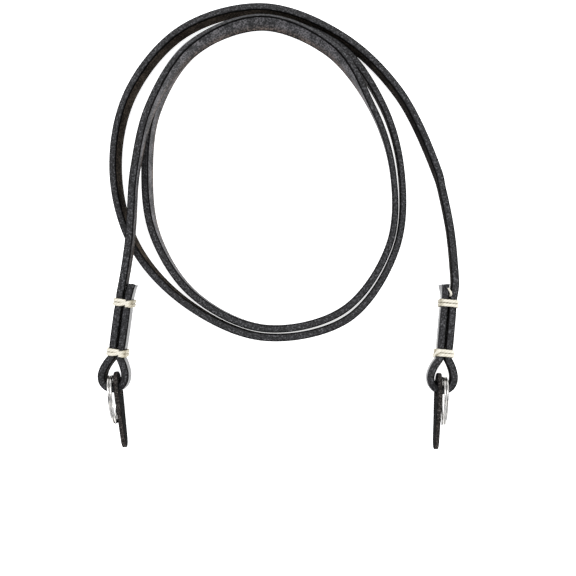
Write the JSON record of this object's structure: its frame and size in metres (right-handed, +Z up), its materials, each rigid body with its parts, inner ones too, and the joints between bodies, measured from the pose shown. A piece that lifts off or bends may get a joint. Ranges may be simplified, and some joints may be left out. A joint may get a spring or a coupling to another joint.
{
  "type": "coiled camera strap",
  "caption": "Coiled leather camera strap: a long flat lace lying in a loose coil, with thread-bound folded ends, split rings and leather guards.",
  "frame": {"origin": "on the surface that the strap lies on, under the centre of its bounding box", "axes": "+Y from the strap's two ends towards the coil's far side, +Z up from the surface, +X to the right seen from above with the ends nearest"},
  "size_m": [0.1283, 0.1594, 0.0173],
  "materials": {
    "leather": "satin",
    "guard_leather": "satin",
    "thread": "matte",
    "steel": "polished"
  },
  "bodies": {
    "root": {"strap": "leather", "binding_left_upper": "thread", "binding_left_lower": "thread", "binding_right_upper": "thread", "binding_right_lower": "thread", "ring_left": "steel", "ring_right": "steel", "guard_left": "guard_leather", "guard_right": "guard_leather"}
  },
  "joints": []
}
